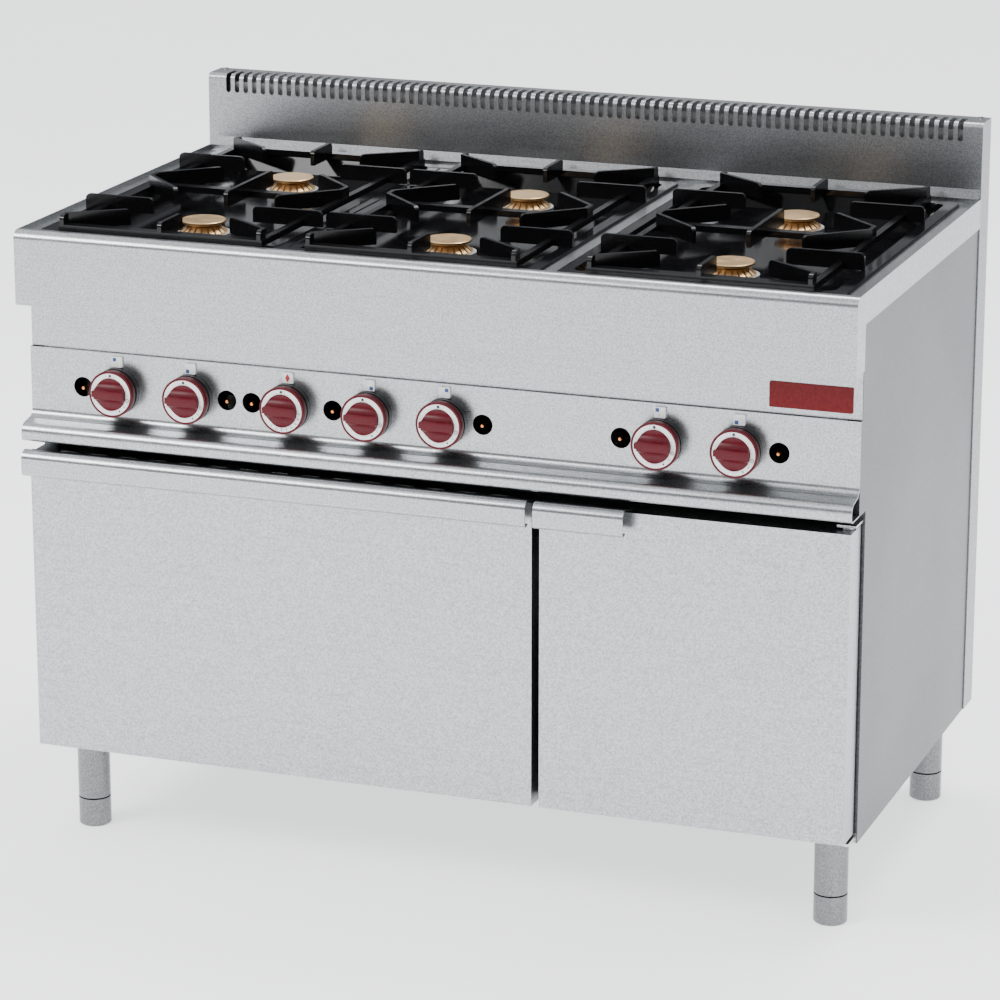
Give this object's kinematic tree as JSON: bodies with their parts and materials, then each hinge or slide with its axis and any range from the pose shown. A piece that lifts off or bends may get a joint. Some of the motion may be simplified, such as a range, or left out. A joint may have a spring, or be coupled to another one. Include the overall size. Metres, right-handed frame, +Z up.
{
  "type": "gas range",
  "caption": "Free-standing commercial gas range with open burners, cast grates, a drop-front oven, a side cupboard, a slotted rear flue cowl and round legs.",
  "frame": {"origin": "middle of the footprint, on the floor", "axes": "+X to the right of someone facing the range, +Y from the front to the back, +Z up"},
  "size_m": [1.1, 0.6622, 0.9246],
  "materials": {
    "steel": "fine horizontal grain, satin",
    "steel_inner": "mill finish sheet",
    "leg_steel": "brushed tube",
    "badge": "gloss",
    "enamel": "vitreous enamel, gloss",
    "grate_iron": "enamelled casting, semi gloss",
    "burner_metal": "cast, matt",
    "brass": "machined, slightly tarnished",
    "pipe_steel": "plated",
    "knob_red": "gloss",
    "black_plastic": "satin",
    "label_white": "printed",
    "seal_cord": "woven heat seal"
  },
  "bodies": {
    "range_body": {"left_side_panel": "steel", "right_side_panel": "steel", "flue_cowl": "steel", "worktop": "steel", "front_strip": "steel", "control_panel": "steel", "base_frame": "steel_inner", "rear_panel": "steel_inner", "flue_duct": "steel_inner", "oven_liner": "steel_inner", "oven_floor_plate": "steel_inner", "cupboard_liner": "steel_inner", "legs": "leg_steel", "badge_plate": "badge", "left_pan": "enamel", "right_pan": "enamel", "burner_bodies": "burner_metal", "oven_burner": "burner_metal", "flame_rings": "brass", "gas_taps": "brass", "gas_pipework": "pipe_steel", "door_hinges": "pipe_steel", "fasteners": "pipe_steel", "knob_bezels": "black_plastic", "tap_labels": "label_white"},
    "oven_door": {"oven_door_skin": "steel", "oven_door_inner": "steel_inner", "oven_door_seal": "seal_cord", "oven_door_handle": "steel"},
    "cupboard_door": {"cupboard_door_skin": "steel", "cupboard_door_inner": "steel_inner", "cupboard_door_handle": "steel"},
    "oven_rack": {"oven_rack": "pipe_steel"},
    "foot_1": {"foot_1": "leg_steel"},
    "foot_2": {"foot_2": "leg_steel"},
    "foot_3": {"foot_3": "leg_steel"},
    "foot_4": {"foot_4": "leg_steel"},
    "spindle_1": {"spindle_1": "pipe_steel"},
    "knob_1": {"knob_1": "knob_red"},
    "spindle_2": {"spindle_2": "pipe_steel"},
    "knob_2": {"knob_2": "knob_red"},
    "spindle_3": {"spindle_3": "pipe_steel"},
    "knob_3": {"knob_3": "knob_red"},
    "spindle_4": {"spindle_4": "pipe_steel"},
    "knob_4": {"knob_4": "knob_red"},
    "spindle_5": {"spindle_5": "pipe_steel"},
    "knob_5": {"knob_5": "knob_red"},
    "spindle_6": {"spindle_6": "pipe_steel"},
    "knob_6": {"knob_6": "knob_red"},
    "spindle_7": {"spindle_7": "pipe_steel"},
    "knob_7": {"knob_7": "knob_red"},
    "cap_left_front": {"cap_left_front": "brass"},
    "cap_left_rear": {"cap_left_rear": "brass"},
    "cap_middle_front": {"cap_middle_front": "brass"},
    "cap_middle_rear": {"cap_middle_rear": "brass"},
    "cap_right_front": {"cap_right_front": "brass"},
    "cap_right_rear": {"cap_right_rear": "brass"},
    "grate_left": {"grate_left": "grate_iron"},
    "grate_middle": {"grate_middle": "grate_iron"},
    "grate_right": {"grate_right": "grate_iron"}
  },
  "joints": [
    {"name": "oven_door_hinge", "type": "hinge", "parent": "range_body", "child": "oven_door", "pos_m": [-0.20175, -0.2645, 0.14], "axis": [1, 0, 0], "range_deg": [0, 90]},
    {"name": "cupboard_door_hinge", "type": "hinge", "parent": "range_body", "child": "cupboard_door", "pos_m": [0.534, -0.2795, 0.332], "axis": [0, 0, 1], "range_deg": [0, 110]},
    {"name": "rack_slide", "type": "slide", "parent": "range_body", "child": "oven_rack", "axis": [0, -1, 0], "range_m": [0, 0.252]},
    {"name": "foot_1_slide", "type": "slide", "parent": "range_body", "child": "foot_1", "axis": [0, 0, -1], "range_m": [0, 0.03]},
    {"name": "foot_2_slide", "type": "slide", "parent": "range_body", "child": "foot_2", "axis": [0, 0, -1], "range_m": [0, 0.03]},
    {"name": "foot_3_slide", "type": "slide", "parent": "range_body", "child": "foot_3", "axis": [0, 0, -1], "range_m": [0, 0.03]},
    {"name": "foot_4_slide", "type": "slide", "parent": "range_body", "child": "foot_4", "axis": [0, 0, -1], "range_m": [0, 0.03]},
    {"name": "knob_1_push", "type": "slide", "parent": "range_body", "child": "spindle_1", "axis": [0, 1, 0], "range_m": [0, 0.003], "stiffness_N_per_m": 2000},
    {"name": "knob_1_turn", "type": "hinge", "parent": "spindle_1", "child": "knob_1", "pos_m": [-0.4255, -0.3055, 0.6175], "axis": [0, -1, 0], "range_deg": [0, 160]},
    {"name": "knob_2_push", "type": "slide", "parent": "range_body", "child": "spindle_2", "axis": [0, 1, 0], "range_m": [0, 0.003], "stiffness_N_per_m": 2000},
    {"name": "knob_2_turn", "type": "hinge", "parent": "spindle_2", "child": "knob_2", "pos_m": [-0.324, -0.3055, 0.6175], "axis": [0, -1, 0], "range_deg": [0, 160]},
    {"name": "knob_3_push", "type": "slide", "parent": "range_body", "child": "spindle_3", "axis": [0, 1, 0], "range_m": [0, 0.003], "stiffness_N_per_m": 2000},
    {"name": "knob_3_turn", "type": "hinge", "parent": "spindle_3", "child": "knob_3", "pos_m": [-0.1905, -0.3055, 0.6175], "axis": [0, -1, 0], "range_deg": [0, 250]},
    {"name": "knob_4_push", "type": "slide", "parent": "range_body", "child": "spindle_4", "axis": [0, 1, 0], "range_m": [0, 0.003], "stiffness_N_per_m": 2000},
    {"name": "knob_4_turn", "type": "hinge", "parent": "spindle_4", "child": "knob_4", "pos_m": [-0.081, -0.3055, 0.6175], "axis": [0, -1, 0], "range_deg": [0, 160]},
    {"name": "knob_5_push", "type": "slide", "parent": "range_body", "child": "spindle_5", "axis": [0, 1, 0], "range_m": [0, 0.003], "stiffness_N_per_m": 2000},
    {"name": "knob_5_turn", "type": "hinge", "parent": "spindle_5", "child": "knob_5", "pos_m": [0.019, -0.3055, 0.6175], "axis": [0, -1, 0], "range_deg": [0, 160]},
    {"name": "knob_6_push", "type": "slide", "parent": "range_body", "child": "spindle_6", "axis": [0, 1, 0], "range_m": [0, 0.003], "stiffness_N_per_m": 2000},
    {"name": "knob_6_turn", "type": "hinge", "parent": "spindle_6", "child": "knob_6", "pos_m": [0.298, -0.3055, 0.6175], "axis": [0, -1, 0], "range_deg": [0, 160]},
    {"name": "knob_7_push", "type": "slide", "parent": "range_body", "child": "spindle_7", "axis": [0, 1, 0], "range_m": [0, 0.003], "stiffness_N_per_m": 2000},
    {"name": "knob_7_turn", "type": "hinge", "parent": "spindle_7", "child": "knob_7", "pos_m": [0.398, -0.3055, 0.6175], "axis": [0, -1, 0], "range_deg": [0, 160]},
    {"name": "cap_left_front_lift", "type": "slide", "parent": "range_body", "child": "cap_left_front", "axis": [0, 0, 1], "range_m": [0, 0.06]},
    {"name": "cap_left_rear_lift", "type": "slide", "parent": "range_body", "child": "cap_left_rear", "axis": [0, 0, 1], "range_m": [0, 0.06]},
    {"name": "cap_middle_front_lift", "type": "slide", "parent": "range_body", "child": "cap_middle_front", "axis": [0, 0, 1], "range_m": [0, 0.06]},
    {"name": "cap_middle_rear_lift", "type": "slide", "parent": "range_body", "child": "cap_middle_rear", "axis": [0, 0, 1], "range_m": [0, 0.06]},
    {"name": "cap_right_front_lift", "type": "slide", "parent": "range_body", "child": "cap_right_front", "axis": [0, 0, 1], "range_m": [0, 0.06]},
    {"name": "cap_right_rear_lift", "type": "slide", "parent": "range_body", "child": "cap_right_rear", "axis": [0, 0, 1], "range_m": [0, 0.06]},
    {"name": "grate_left_lift", "type": "slide", "parent": "range_body", "child": "grate_left", "axis": [0, 0, 1], "range_m": [0, 0.15]},
    {"name": "grate_middle_lift", "type": "slide", "parent": "range_body", "child": "grate_middle", "axis": [0, 0, 1], "range_m": [0, 0.15]},
    {"name": "grate_right_lift", "type": "slide", "parent": "range_body", "child": "grate_right", "axis": [0, 0, 1], "range_m": [0, 0.15]}
  ],
  "couplings": [
    {"joint": "rack_slide", "follows": "oven_door_hinge", "m_per_rad": 0.16}
  ]
}
